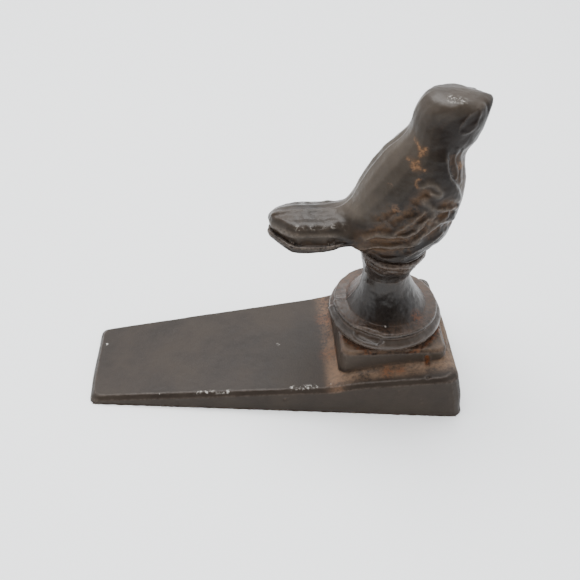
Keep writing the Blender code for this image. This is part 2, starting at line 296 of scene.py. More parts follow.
def lacquered_iron(name, dark, plain, dust, tan, rust, crest_highlight, gloss, grain, specular):
    """Brown-black lacquer on sand-cast iron.

    Semi-gloss over a slightly rough skin: cloudy brown-black body, a paler colour painted in as light on
    what faces up, earthy tan and orange rust where the stain and rust marks are set or the surface is
    hollow, and a painted highlight on the crests.
    """
    finish = bpy.data.materials.new(name)
    finish.use_nodes = True
    tree = finish.node_tree
    tree.nodes.clear()
    place = add(tree, "ShaderNodeTexCoord").outputs["Object"]
    marks = {
        label: add(tree, "ShaderNodeAttribute", attribute_name=label).outputs["Fac"]
        for label in ("dust", "hollow", "stain", "rust", "crest", "scuff")
    }
    # Each pattern is named with its size in millimetres, its detail and its roughness.
    patterns = {
        label: add(tree, "ShaderNodeTexNoise", {
            "Vector": place, "Scale": 1 / (size * MM), "Detail": detail, "Roughness": roughness,
        }).outputs["Fac"]
        for label, size, detail, roughness in (
            ("cloud", 16, 5.0, 0.6), ("speckle", 1.3, 5.0, 0.7),
            ("orange peel", 2.6, 3.0, 0.5), ("sand", 0.7, 4.0, 0.6),
        )
    }
    cloud, speckle = patterns["cloud"], patterns["speckle"]

    # The body is cloudy between two browns, under a paler colour painted in as light, which is thin in
    # places.
    mottle = add(tree, "ShaderNodeMapRange", {"Value": cloud, 1: 0.36, 2: 0.64})
    body = add(tree, "ShaderNodeMix", {
        0: mottle.outputs[0], 6: linear(dark), 7: linear(plain),
    }, data_type="RGBA")
    light_patches = add(tree, "ShaderNodeMapRange", {"Value": cloud, 1: 0.25, 2: 0.75, 3: 0.5, 4: 1.0})
    lit_share = add(tree, "ShaderNodeMath", {0: marks["dust"], 1: light_patches.outputs[0]}, operation="MULTIPLY")
    dusted = add(tree, "ShaderNodeMix", {
        0: lit_share.outputs[0], 6: body.outputs[2], 7: linear(dust),
    }, data_type="RGBA")

    # Earthy tan lies in the hollows and the stains, broken up by cloud and speckle together.
    sunk = add(tree, "ShaderNodeMapRange", {"Value": marks["hollow"], 1: -0.05, 2: -0.40})
    sunk_earth = add(tree, "ShaderNodeMath", {0: sunk.outputs[0], 1: 0.35}, operation="MULTIPLY")
    stained = add(tree, "ShaderNodeMath", {0: sunk_earth.outputs[0], 1: marks["stain"]}, operation="MAXIMUM")
    both = add(tree, "ShaderNodeMath", {0: cloud, 1: speckle}, operation="ADD")
    broken = add(tree, "ShaderNodeMapRange", {"Value": both.outputs[0], 1: 0.76, 2: 1.16})
    earth = add(tree, "ShaderNodeMath", {0: stained.outputs[0], 1: broken.outputs[0]}, operation="MULTIPLY")
    earthy = add(tree, "ShaderNodeMix", {
        0: earth.outputs[0], 6: dusted.outputs[2], 7: linear(tan),
    }, data_type="RGBA")

    # Rust eats through in grains, crests get a painted grey highlight in patches, and scuffs leave pale
    # specks.
    gnawed = add(tree, "ShaderNodeMapRange", {"Value": speckle, 1: 0.40, 2: 0.58})
    rusty = add(tree, "ShaderNodeMath", {0: marks["rust"], 1: gnawed.outputs[0]}, operation="MULTIPLY")
    rusted = add(tree, "ShaderNodeMix", {
        0: rusty.outputs[0], 6: earthy.outputs[2], 7: linear(rust),
    }, data_type="RGBA")
    raised = add(tree, "ShaderNodeMapRange", {"Value": marks["crest"], 1: 0.05, 2: 0.25, 3: 0.0, 4: 0.5})
    patchy = add(tree, "ShaderNodeMapRange", {"Value": speckle, 1: 0.35, 2: 0.6})
    highlit_crests = add(tree, "ShaderNodeMath", {0: raised.outputs[0], 1: patchy.outputs[0]}, operation="MULTIPLY")
    highlighted = add(tree, "ShaderNodeMix", {
        0: highlit_crests.outputs[0], 6: rusted.outputs[2], 7: linear(crest_highlight),
    }, data_type="RGBA")
    specks = add(tree, "ShaderNodeMapRange", {"Value": speckle, 1: 0.52, 2: 0.60})
    scuffed = add(tree, "ShaderNodeMath", {0: marks["scuff"], 1: specks.outputs[0]}, operation="MULTIPLY")
    colour = add(tree, "ShaderNodeMix", {
        0: scuffed.outputs[0], 6: highlighted.outputs[2], 7: linear("B9B5AE"),
    }, data_type="RGBA")

    # The lacquer's shine changes slowly over the skin and is lost where it has rusted.
    dulled = add(tree, "ShaderNodeMath", {0: earth.outputs[0], 1: 0.7}, operation="MULTIPLY")
    bare = add(tree, "ShaderNodeMath", {0: rusty.outputs[0], 1: scuffed.outputs[0]}, operation="MAXIMUM")
    matt = add(tree, "ShaderNodeMath", {0: dulled.outputs[0], 1: bare.outputs[0]}, operation="MAXIMUM")
    shine = add(tree, "ShaderNodeMapRange", {
        "Value": cloud, 1: 0.3, 2: 0.7, 3: gloss - 0.05, 4: gloss + 0.08,
    })
    rough = add(tree, "ShaderNodeMix", {0: matt.outputs[0], 2: shine.outputs[0], 3: 0.68})
    peel = add(tree, "ShaderNodeMath", {0: patterns["orange peel"], 1: 0.6}, operation="MULTIPLY")
    height = add(tree, "ShaderNodeMath", {
        0: patterns["sand"], 1: 0.4, 2: peel.outputs[0],
    }, operation="MULTIPLY_ADD")
    bump = add(tree, "ShaderNodeBump", {
        "Height": height.outputs[0], "Strength": grain, "Distance": 0.4 * MM,
    })
    shader = add(tree, "ShaderNodeBsdfPrincipled", {
        "Base Color": colour.outputs[2], "Roughness": rough.outputs[0], "Normal": bump.outputs[0],
        "Metallic": 0.0, "IOR": 1.5, "Specular IOR Level": specular,
    })
    add(tree, "ShaderNodeOutputMaterial", {0: shader.outputs[0]})
    return finish


# The wedge is the dullest of the three, with a broad soft sheen and sandy tan round the plinth.
wedge_finish = lacquered_iron(
    "brown lacquer on sand-cast iron, wedge",
    dark="201A16", plain="2A231D", dust="4A4139", tan="745E4C", rust="7C4724", crest_highlight="6B6058",
    gloss=0.44, grain=0.45, specular=0.18,
)


def pad_height(x):
    """Height of the ramp and pad above the floor at a distance along X."""
    ramp = TOE_THICKNESS + RAMP_SLOPE * (x - TOE_X)
    rise = STEP_RISE + PAD_EXTRA_SLOPE * (x - STEP_END)
    return ramp + rise * soft_step(x, STEP_START, STEP_END)


def add_fillet(piece):
    """Joins a concave collar to the plinth's foot, so that the remesh welds it in."""
    shape = bmesh.new()
    shape.from_mesh(piece.data)
    flat_half = PLINTH_HALF - PLINTH_CORNER
    rings = []
    for step in range(FILLET_RINGS):
        turn = step / (FILLET_RINGS - 1) * math.pi / 2
        tuck = FILLET_TUCK * (step == FILLET_RINGS - 1)
        out = PLINTH_CORNER + FILLET_RADIUS * (1 - math.sin(turn)) + 0.15 - tuck
        height = FILLET_RADIUS * (1 - math.cos(turn)) + 0.1
        ring = []
        for index in range(FILLET_SIDES):
            angle = (index + 0.5) / FILLET_SIDES * math.tau
            direction = (math.cos(angle), math.sin(angle))
            long = max(abs(direction[0]), abs(direction[1]))
            flat = [min(max(c / long * PLINTH_HALF, -flat_half), flat_half) for c in direction]
            x = PLINTH_CENTRE_X + flat[0] + direction[0] * out
            y = flat[1] + direction[1] * out
            ring.append(shape.verts.new((x * MM, y * MM, (float(pad_height(x)) + height) * MM)))
        rings.append(ring)
    skirt = [shape.verts.new((v.co.x, v.co.y, v.co.z - FILLET_DEPTH * MM)) for v in rings[0]]
    rings.insert(0, skirt)
    for low, high in zip(rings, rings[1:]):
        for index in range(FILLET_SIDES):
            following = (index + 1) % FILLET_SIDES
            shape.faces.new((low[index], low[following], high[following], high[index]))
    shape.faces.new(rings[-1])
    shape.faces.new(list(reversed(rings[0])))
    shape.to_mesh(piece.data)
    shape.free()


wedge = copy_of("wedge_base", "wedge form")
add_fillet(wedge)
wedge = even_skin(wedge, WEDGE_VOXEL, 2, "wedge skin")
points, normals = read_points(wedge)
# The rim on the floor stays crisp, where the mould's parting face cut it.
rim = RIM_AT_TOE + (RIM_AT_HEEL - RIM_AT_TOE) * (points[:, 0] - TOE_X) / LENGTH
on_rim = (points[:, 2] < 0.5) & (np.abs(rim - np.abs(points[:, 1])) < 0.6)
points[:, 1] = np.where(on_rim, np.sign(points[:, 1]) * rim, points[:, 1])
points[:, 2] = np.where(on_rim, 0, points[:, 2])
gouge = 1 - soft_step(line_distance(points, GOUGE), 0.3, 1.3)
nick = spot(points, EDGE_NICK, 1.0)
spur = spot(points, SPUR, 1.3)
write_points(wedge, points + normals * (0.9 * spur - 0.9 * gouge - 0.6 * nick)[:, None])
# The heel is skewed, further out on the near side, and the toe's far corner is set back.
points, normals = read_points(wedge)
heel = soft_step(points[:, 0], 60, 68) * soft_step(points[:, 2], 1, 9)
far_toe = soft_step(-points[:, 0], 61, 70) * soft_step(points[:, 1], -8, 18)
points[:, 0] += 1.0 * heel * (1 - 1.7 * soft_step(points[:, 1], 2, 26)) + 1.1 * far_toe
points[:, 0] = np.minimum(points[:, 0], 69.9)
far_corner = spot(points, SUNK_CORNER, 6.0)
points += far_corner[:, None] * (1.2, -1.2, -0.4)
write_points(wedge, points)
foot_gap = np.maximum(np.abs(points[:, 0] - PLINTH_CENTRE_X), np.abs(points[:, 1])) - PLINTH_HALF
upward = soft_step(normals[:, 2], 0.15, 0.5)
above_floor = soft_step(points[:, 2], 6, 9)
# The band round the plinth's foot carries the real tan stain and is widened over the pad, so that it also
# paints light onto the pad where the plinth shades it.
at_foot = (1 - soft_step(np.abs(foot_gap - 1.2), 0.8, 6.0)) * upward * above_floor
at_foot *= 1 - soft_step(points[:, 2], 19.5, 21.5)
front_band = np.exp(-((points[:, 0] - 22.6) / 3.0) ** 2) * upward * above_floor
at_plinth = soft_step(points[:, 2], 13.5, 15) * (foot_gap < 1.5)
top_edge = soft_step(normals[:, 2], 0.12, 0.35) * (1 - soft_step(normals[:, 2], 0.85, 0.97))
from_joint = np.hypot(points[:, 0] - JOINT_CENTRE_X, points[:, 1]) - JOINT_RADIUS
joint_ring = np.exp(-(from_joint / 0.9) ** 2) * (points[:, 2] > 21.2)
mark(
    wedge,
    stain=np.maximum.reduce([
        at_foot * np.where(points[:, 1] < 0, 1.0, 0.6), 0.45 * front_band,
        at_plinth * soft_step(points[:, 2], 20.5, 21.8) * 0.5,
    ]),
    rust=np.maximum.reduce([
        0.5 * spot(points, (41.8, -22.0, 14.0), 4.0), 0.5 * spot(points, (46.5, -22.0, 14.6), 3.0),
        0.9 * spot(points, (56.0, -20.6, 14.6), 2.2), 0.8 * gouge, 0.12 * front_band, 0.5 * joint_ring,
        0.3 * spot(points, (22.0, -8.0, 11.0), 6.0), 0.3 * spot(points, (22.0, 12.0, 11.0), 6.0),
    ]),
    scuff=np.maximum.reduce([
        0.85 - 0.85 * soft_step(line_distance(points, EDGE_SCUFF), 0.4, 1.5),
        0.8 - 0.8 * soft_step(line_distance(points, FAINT_SCUFF), 0.3, 0.9),
        spot(points, (20.6, -23.1, 10.9), 0.8), spot(points, (2.2, 0.4, 8.8), 0.9),
        spot(points, (-65.7, 9.5, 3.0), 1.0), 0.8 * spot(points, (-43.5, -20.2, 4.9), 0.6),
    ]),
    pitted=sum(spot(points, place, 2.2) for place in SIDE_PITS) + 1.6 * joint_ring,
    # Painted light: paler on faces turned up and towards the camera, and on the plinth's sides and top and
    # the pad in front of it, which stand in shade.
    dust=np.maximum.reduce([
        0.15 * soft_step(normals[:, 2], 0.2, 0.8), 0.35 * soft_step(-normals[:, 1], 0.5, 0.95),
        0.7 * at_plinth * (1 - top_edge), 0.7 * at_foot * (points[:, 1] < 0),
        at_plinth * soft_step(points[:, 2], 21.5, 22.2),
    ]),
)
wedge = grow(wedge, cast_skin, {
    "Swell Height": 0.30 * MM, "Swell Size": 15 * MM, "Grain Height": 0.16 * MM, "Grain Size": 2.6 * MM,
    "Pit Depth": 0.5 * MM, "Pit Size": 1.8 * MM, "Crispness": 0.4, "Seed": 1.0,
    "Fine Passes": 6, "Wide Passes": 40, "Finish": wedge_finish,
}, "wedge_casting")
hold_in_box(wedge)
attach(wedge, "root")
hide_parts("wedge_base")


# ---------------------------------------------------------------------------------------------
# Pedestal. A separate casting made from a turned pattern in a two-part mould: swollen foot,
# flat ring, flared neck and a small wrinkled capital under the bird. A bore takes the long screw.
# It is ground a little where it stands on the plinth, and the joint has pitted and rusted.

BORE_RADIUS = 2.9
FOOT_AXIS, NECK_AXIS, CAPITAL_AXIS = 43.0, 41.9, 43.2
NECK_RADIUS, NECK_HEIGHT = 8.5, 46.0
RING_RADIUS, RING_TOP = 19.2, 30.5
FLARE_FOOT = 15.0
CAPITAL_RADIUS = 11.9
PROFILE_STEP = 0.42
STEPS_AROUND = 300
CHIP = ((31.2, -15.9, 28.2), (36.8, -18.6, 27.6))
CHIP_LIP = ((30.9, -14.2, 30.2), (34.0, -15.4, 30.6), (38.2, -17.4, 30.2))

# The pedestal's lacquer lies thickest, so it is nearly black and shows narrow bright streaks.
pedestal_finish = lacquered_iron(
    "brown lacquer on sand-cast iron, pedestal",
    dark="17120F", plain="251E19", dust="3E352E", tan="564334", rust="7A4524", crest_highlight="6B6058",
    gloss=0.32, grain=0.35, specular=0.36,
)
pedestal_low, pedestal_high = (np.array(corner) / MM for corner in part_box("pedestal"))


def pedestal_outline():
    """Closed outline of the turned casting as (radius, height), bore included."""
    base, top = pedestal_low[2], pedestal_high[2]
    outline = [(BORE_RADIUS, base), (19.1, base), (19.5, base + 0.7)]
    outline += [
        (18.6 + 2.5 * math.cos(a), 25.5 + 2.2 * math.sin(a))
        for a in np.radians(range(-45, 61, 15))
    ]
    outline += [(RING_RADIUS - 0.1, 27.9), (RING_RADIUS - 0.4, 28.5), (RING_RADIUS, 29.1)]
    outline += [
        (RING_RADIUS - 0.8 + 0.8 * math.cos(a), RING_TOP - 0.8 + 0.8 * math.sin(a))
        for a in np.radians(range(0, 91, 18))
    ]
    for step in range(25):
        t = step / 24
        radius = NECK_RADIUS + (FLARE_FOOT - NECK_RADIUS) * (1 - t) ** 1.9
        outline.append((radius, RING_TOP + 0.5 + t * (NECK_HEIGHT - RING_TOP)))
    for step in range(1, 15):
        t = step / 14
        outline.append((NECK_RADIUS + (CAPITAL_RADIUS - NECK_RADIUS) * t ** 1.35, NECK_HEIGHT + t * 9.6))
    outline += [(CAPITAL_RADIUS, 56.4), (CAPITAL_RADIUS - 0.4, top - 0.1), (CAPITAL_RADIUS - 1, top)]
    outline += [(BORE_RADIUS, top), (BORE_RADIUS, base)]
    return outline


def even_outline(outline, step):
    """The outline cut into even steps, with both ends kept."""
    outline = np.array(outline)
    run = np.concatenate([[0], np.cumsum(np.linalg.norm(np.diff(outline, axis=0), axis=1))])
    at = np.linspace(0, run[-1], int(run[-1] / step) + 1)
    return [(np.interp(s, run, outline[:, 0]), np.interp(s, run, outline[:, 1])) for s in at]


def turning_tree():
    """Turns an outline of (radius, 0, height) about Z, with the axis leaning by height."""
    tree = new_tree("turned pattern", {
        "Outline Points": "Int", "Steps Around": "Int", "Foot Axis": "Float", "Neck Axis": "Float",
        "Capital Axis": "Float", "Ring Top": "Float", "Neck Height": "Float", "Top": "Float",
        "Finish": "Material",
    })
    given = add(tree, "NodeGroupInput").outputs
    sheet = add(tree, "GeometryNodeMeshGrid", {
        "Vertices X": given["Outline Points"], "Vertices Y": given["Steps Around"],
    }).outputs[0]
    index = add(tree, "GeometryNodeInputIndex").outputs[0]
    row = add(tree, "ShaderNodeMath", {0: index, 1: given["Steps Around"]}, operation="DIVIDE")
    row = add(tree, "ShaderNodeMath", {0: row.outputs[0]}, operation="FLOOR")
    column = add(tree, "ShaderNodeMath", {0: index, 1: given["Steps Around"]}, operation="MODULO")
    last = add(tree, "ShaderNodeMath", {0: given["Steps Around"], 1: 1.0}, operation="SUBTRACT")
    share = add(tree, "ShaderNodeMath", {0: column.outputs[0], 1: last.outputs[0]}, operation="DIVIDE")
    angle = add(tree, "ShaderNodeMath", {0: share.outputs[0], 1: math.tau}, operation="MULTIPLY")
    place = add(tree, "GeometryNodeInputPosition").outputs[0]
    sampled = add(tree, "GeometryNodeSampleIndex", {
        0: given[0], "Value": place, "Index": row.outputs[0],
    }, data_type="FLOAT_VECTOR", domain="POINT")
    turned = add(tree, "ShaderNodeVectorRotate", {
        "Vector": sampled.outputs[0], "Angle": angle.outputs[0],
    }, rotation_type="Z_AXIS")
    height = add(tree, "ShaderNodeSeparateXYZ", {0: sampled.outputs[0]}).outputs[2]
    low_part = add(tree, "ShaderNodeMapRange", {
        "Value": height, 1: given["Ring Top"], 2: given["Neck Height"], 3: given["Foot Axis"],
        4: given["Neck Axis"],
    }, interpolation_type="SMOOTHSTEP")
    lean = add(tree, "ShaderNodeMath", {
        0: given["Capital Axis"], 1: given["Neck Axis"],
    }, operation="SUBTRACT")
    high_part = add(tree, "ShaderNodeMapRange", {
        "Value": height, 1: given["Neck Height"], 2: given["Top"], 3: 0.0, 4: lean.outputs[0],
    }, interpolation_type="SMOOTHSTEP")
    axis = add(tree, "ShaderNodeMath", {0: low_part.outputs[0], 1: high_part.outputs[0]})
    shift = add(tree, "ShaderNodeCombineXYZ", {0: axis.outputs[0]})
    final = add(tree, "ShaderNodeVectorMath", {0: turned.outputs[0], 1: shift.outputs[0]})
    placed = add(tree, "GeometryNodeSetPosition", {0: sheet, "Position": final.outputs[0]})
    welded = add(tree, "GeometryNodeMergeByDistance", {0: placed.outputs[0], "Distance": 0.01 * MM})
    close_tree(tree, welded.outputs[0], given["Finish"])
    return tree


outline = even_outline(pedestal_outline(), PROFILE_STEP)
outline_mesh = bpy.data.meshes.new("pedestal outline")
outline_mesh.from_pydata([(r * MM, 0, z * MM) for r, z in outline], [], [])
pattern = bpy.data.objects.new("pedestal outline", outline_mesh)
bpy.context.scene.collection.objects.link(pattern)
pedestal = grow(pattern, turning_tree(), {
    "Outline Points": len(outline), "Steps Around": STEPS_AROUND + 1, "Foot Axis": FOOT_AXIS * MM,
    "Neck Axis": NECK_AXIS * MM, "Capital Axis": CAPITAL_AXIS * MM, "Ring Top": RING_TOP * MM,
    "Neck Height": NECK_HEIGHT * MM, "Top": float(pedestal_high[2]) * MM, "Finish": pedestal_finish,
}, "pedestal form")
turned = bmesh.new()
turned.from_mesh(pedestal.data)
bmesh.ops.recalc_face_normals(turned, faces=turned.faces)
turned.to_mesh(pedestal.data)
turned.free()

points, normals = read_points(pedestal)
x, y, z = points.T
radius = np.hypot(x - FOOT_AXIS, y)
outer = soft_step(np.hypot(x - NECK_AXIS, y), 5, 7)
# The far left of the foot came out of the mould fuller and higher than the rest.
full_side = soft_step(y * 0.75 - (x - FOOT_AXIS) * 0.66, 6, 17)
full_side *= soft_step(z, 23.5, 27) * (1 - soft_step(z, 36, 42))
points += full_side[:, None] * (-0.7, 0.6, 1.5)
on_left = soft_step(FOOT_AXIS - x, 0, 6)
mould_line = np.exp(-((y - 0.3) / 0.5) ** 2) * on_left
half_step = np.tanh((y - 0.3) / 0.4) * on_left
chip = np.exp(-(line_distance(points, CHIP) / 2.1) ** 4)
chip_lip = np.exp(-(line_distance(points, CHIP_LIP) / 0.6) ** 2)
slope = z + 0.25 * (x - CAPITAL_AXIS)
wrinkle = np.sin(slope * 2.2 + np.sin(x * 0.5 + 1) + np.sin(y * 0.6))
wrinkle += 0.5 * np.sin(slope * 4.1 - 0.5 * x + 2.0 * np.sin(y * 0.4))
wrinkled = (0.8 + 0.4 * np.sin(0.9 * x + 0.5 * z)) * soft_step(z, 49.0, 54.0)
wrinkled *= 1 - soft_step(z, 56.4, 57.0)
write_points(pedestal, points + normals * (outer * (
    0.30 * mould_line - 0.20 * half_step - 0.9 * chip + 0.45 * chip_lip + 0.12 * wrinkle * wrinkled
))[:, None])
joint = (1 - soft_step(z, pedestal_low[2] + 0.9, pedestal_low[2] + 1.9)) * soft_step(radius, 17, 19)
ring_flat = soft_step(normals[:, 2], 0.5, 0.85) * soft_step(radius, 12.5, 15) * soft_step(z, 29.3, 30)
ring_flat *= 1 - soft_step(z, 31.5, 35)
far_left = soft_step(y, -1.0, 1.0) * soft_step(FOOT_AXIS - x, 2, 8) * (1 - soft_step(z, 40, 46)) * outer
capital_zone = soft_step(z, 50, 53) * outer
on_ledges = soft_step(normals[:, 2], 0.3, 0.9) * (1 - 0.8 * soft_step(-y, 4, 10))
mark(
    pedestal,
    stain=np.maximum.reduce([0.8 * joint, 0.5 * ring_flat, 0.3 * far_left, 0.4 * capital_zone]),
    rust=np.maximum.reduce([
        0.6 * joint, 0.05 * ring_flat, 0.1 * far_left,
        0.5 * spot(points, (53.0, -11.0, 32.0), 4.0), 0.5 * spot(points, (36.0, 4.0, 52.0), 5.0),
    ]),
    scuff=np.maximum(
        0.8 * spot(points, (40.5, -15.0, 30.6), 0.9), 0.7 * spot(points, (33.0, -9.0, 31.0), 0.9),
    ),
    pitted=joint + 0.15 * capital_zone,
    # Painted light: paler on ledges that face up, less so on the near side, and over the whole foot, darker
    # again on the far left.
    dust=np.maximum(on_ledges, z < 28.5) * (1 - 0.6 * far_left),
)
pedestal = grow(pedestal, cast_skin, {
    "Swell Height": 0.8 * MM, "Swell Size": 5 * MM, "Grain Height": 0.26 * MM, "Grain Size": 1.5 * MM,
    "Pit Depth": 1.1 * MM, "Pit Size": 1.0 * MM, "Crispness": 0.4, "Seed": 2.0,
    "Fine Passes": 5, "Wide Passes": 40, "Finish": pedestal_finish,
}, "pedestal_casting")
hold_in_box(pedestal)
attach(pedestal, "root")
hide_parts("pedestal")


# ---------------------------------------------------------------------------------------------
# Bird. A third casting, moulded in two halves that meet along its middle, so a thin line runs
# over its back and head. Feathers, wing, eye and tail edge are modelled in low relief, softened
# by the sand and filled by the lacquer, which has worn brown in the hollows of the feathers.

BIRD_VOXEL = 0.40
# Lines on the flank as (x, z); both flanks carry them.
BELLY_EDGE = (
    (28.3, 63.8), (36.0, 60.4), (43.3, 60.8), (47.2, 62.9), (50.4, 65.6), (53.6, 68.0), (57.0, 70.8),
)
FEATHER_HOLLOWS = (
    ((34.2, 62.7), (39.4, 64.2), (45.2, 65.2)),
    ((33.0, 68.0), (37.6, 68.4), (42.2, 69.3)),
    ((44.9, 69.2), (48.0, 72.3), (51.5, 77.0)),
    ((41.8, 73.1), (44.9, 76.1), (48.6, 79.4)),
    ((39.5, 77.2), (41.9, 79.0), (44.9, 82.3)),
    ((33.4, 72.2), (36.8, 74.4)),
    ((35.0, 77.4), (38.6, 81.1)),
    ((52.4, 70.8), (54.1, 74.1)),
    ((54.7, 79.2), (59.2, 79.5)),
    ((57.1, 73.8), (59.8, 73.0)),
    ((55.8, 83.8), (60.0, 81.9)),
    ((46.0, 85.5), (48.6, 88.2)),
)
FEATHER_RIDGES = (
    ((29.9, 64.7), (33.2, 65.2), (37.4, 66.5), (42.5, 66.4), (45.9, 67.4), (48.3, 69.5), (51.3, 73.3),
     (54.4, 76.7), (57.5, 78.3)),
    ((30.6, 69.2), (34.8, 70.5), (38.6, 71.5), (42.0, 71.0), (44.7, 71.1), (47.1, 74.1), (50.1, 77.3),
     (52.5, 79.9)),
    ((40.2, 72.5), (43.3, 74.8), (46.3, 78.1), (49.0, 81.4)),
    ((48.5, 86.0), (50.7, 83.7), (52.0, 81.2), (51.9, 77.1), (50.4, 72.5)),
    ((51.8, 82.9), (56.6, 81.5), (61.0, 80.3)),
    ((53.5, 77.8), (58.3, 76.0), (60.0, 75.6)),
    ((48.3, 91.0), (49.8, 91.9), (52.2, 91.1), (53.8, 89.1), (52.6, 87.5), (50.6, 88.4)),
)
WING_EDGE = (
    (54.5, 103.0), (55.2, 99.5), (55.8, 96.1), (56.8, 93.5), (59.1, 90.2), (61.0, 86.7), (62.2, 82.9),
    (61.8, 79.2),
)
BREAST_FOLDS = (((57.7, 102.3), (57.9, 97.1), (59.2, 92.3)), ((59.8, 101.7), (60.3, 95.9), (61.4, 90.5)))
EYE_LEAF = (
    (57.2, 108.9), (58.2, 111.3), (59.5, 113.8), (61.5, 115.5), (63.2, 115.9), (64.0, 114.2),
    (63.2, 111.9), (61.8, 109.7), (59.3, 108.3), (57.2, 108.9),
)
BROW = ((49.0, 113.6), (52.3, 115.8), (55.7, 116.8), (58.9, 117.0), (61.8, 116.0), (64.0, 115.6))
BEAK_CREASE = ((64.2, 117.9), (64.5, 117.2), (65.5, 116.2), (67.0, 114.6))
# Thin streaks of rust on the near shoulder, as (x, z).
RUST_STROKES = (
    ((45.4, 104.2), (46.6, 102.0), (46.2, 100.6)),
    ((47.8, 103.0), (46.4, 101.4)),
    ((43.0, 98.2), (45.6, 97.4), (48.0, 96.4)),
    ((44.0, 95.8), (46.0, 98.6)),
    ((46.2, 93.2), (45.8, 91.6), (46.4, 90.4)),
)
# Where the casting swelled or shrank against its pattern, as (place, size, rise).
SWELLS = (
    ((40.5, 4.0, 103.0), 9.0, -0.9),
    ((56.5, -3.0, 61.0), 8.0, -0.9),
    ((64.5, 0.0, 82.0), 10.0, 0.5),
    ((56.0, 0.0, 119.5), 7.0, -0.4),
)
# The tail's half width along X, under its eave.
TAIL_X = (-2.0, -0.6, 2.6, 7.6, 17.0, 22.6)
TAIL_HALF_WIDTH = (2.4, 4.9, 8.5, 11.5, 11.8, 10.4)


def rounded(line):
    """Cuts the corners of a line twice, which leaves it flowing."""
    for _ in range(2):
        cut = [line[0]]
        for (ax, az), (bx, bz) in zip(line, line[1:]):
            cut.append((0.75 * ax + 0.25 * bx, 0.75 * az + 0.25 * bz))
            cut.append((0.25 * ax + 0.75 * bx, 0.25 * az + 0.75 * bz))
        line = cut + [line[-1]]
    return line


# The bird is black-brown below, with a paler grey-brown painted in as light on its back, head and tail.
bird_finish = lacquered_iron(
    "brown lacquer on sand-cast iron, bird",
    dark="100C0A", plain="1B1410", dust="5E554B", tan="4A3726", rust="7A5A40", crest_highlight="6E635A",
    gloss=0.33, grain=0.30, specular=0.18,
)
bird = even_skin(copy_of("bird", "bird form"), BIRD_VOXEL, 14, "bird skin")
points, normals = read_points(bird)
x, y, z = points.T.copy()
tail = 1 - soft_step(x, 19, 27)
# The far half of the mould was fuller along the back and tail.
back = soft_step(-normals[:, 0] * 0.6 + normals[:, 2] * 0.4 + normals[:, 1], 0.1, 0.9)
back *= soft_step(y, 0, 4) * soft_step(z, 66, 72) * (1 - soft_step(z, 100, 110))
swell = sum(rise * spot(points, place, size) for place, size, rise in SWELLS)
points += normals * (0.8 * back + swell)[:, None]
points[:, 1] += 1.1 * tail * soft_step(y, 2, 10)
# Tail: above the eave the flat top is set in from the side, by more on the near half.
above = soft_step(z, 66.3, 67.3) * tail
inset = np.where(y < 0, 0.19, 0.06)
points[:, 1] -= y * inset * above
# The near half of the top is nearly flat out to that edge, so it falls away in a low wall there.
half_width = np.interp(x, TAIL_X, TAIL_HALF_WIDTH)
out = -y / half_width
shoulder = soft_step(out, 0.15, 0.80) * (1 - soft_step(out, 0.88, 1.02)) * np.minimum(half_width / 9, 1)
points[:, 2] += 2.4 * shoulder * above
points[:, 0] += 1.8 * above * (1 - soft_step(x, -2.5, 9)) * soft_step(-y, -6, 6)
points[:, 0] -= 0.8 * (1 - soft_step(x, -2.5, 6)) * soft_step(y, 2, 9)
points[:, 2] += 0.6 * above * soft_step(y, 2, 9)
points[:, 2] -= 0.6 * (1 - soft_step(z, 63.5, 66)) * tail * (normals[:, 2] < 0.5)
# Its end corner on the near side is cut back, and the underside at the root is lifted.
near_end = (1 - soft_step(x, -2, 7)) * soft_step(-y, -1, 9)
points[:, 0] += 1.7 * near_end * (1 - above)
root = np.exp(-((x - 27) / 5.0) ** 2) * (1 - soft_step(z, 60, 66))
points[:, 2] += 1.3 * root
# The underside spreads over the capital that it stands on.
spread = (1 - soft_step(z, 58.5, 62)) * soft_step(np.abs(y), 3, 8) * np.exp(-((x - 41) / 9) ** 4)
points[:, 1] += 2.0 * np.sign(y) * spread
write_points(bird, points)

points, normals = read_points(bird)
x, y, z = points.T.copy()
flank = np.stack([
    x + 0.35 * np.sin(z * 0.9 + 1.0) + 0.2 * np.sin(x * 1.7 + z * 0.6),
    z + 0.30 * np.sin(x * 0.8 + 2.0) + 0.2 * np.sin(z * 1.9 - x * 0.7),
], axis=1)
side_on = soft_step(np.abs(normals[:, 1]), 0.15, 0.6)


def bead(lines, width):
    """A rounded bead along lines drawn on the bird's flank."""
    return np.max([np.exp(-(line_distance(flank, rounded(line)) / width) ** 2) for line in lines], axis=0)


hollows = bead(FEATHER_HOLLOWS, 1.8)
ridges = bead(FEATHER_RIDGES, 1.15)
edge_x = np.interp(z, [p[1] for p in WING_EDGE][::-1], [p[0] for p in WING_EDGE][::-1])
wing_span = soft_step(z, 79, 84) * (1 - soft_step(z, 99, 104))
wing_side = edge_x - x
wing = soft_step(wing_side, -0.6, 1.0) * np.exp(-(np.maximum(wing_side, 0) / 6.0) ** 2) * wing_span
breast_drop = soft_step(-wing_side, -0.3, 1.0) * wing_span
leaf_u, leaf_v = (x - 60.8) * 0.8 - (z - 112.2) * 0.45, (x - 60.8) * 0.45 + (z - 112.2) * 0.8
in_leaf = np.exp(-(leaf_u / 1.9) ** 2 - (leaf_v / 3.2) ** 2)
cheek = np.exp(-((x - 53.0) / 3.4) ** 2 - ((z - 110.5) / 4.0) ** 2)
belly_z = np.interp(x, [p[0] for p in BELLY_EDGE], [p[1] for p in BELLY_EDGE])
under_belly = soft_step(belly_z - z, 0.3, 1.4) * soft_step(x, 27, 31) * (1 - soft_step(x, 54, 58))
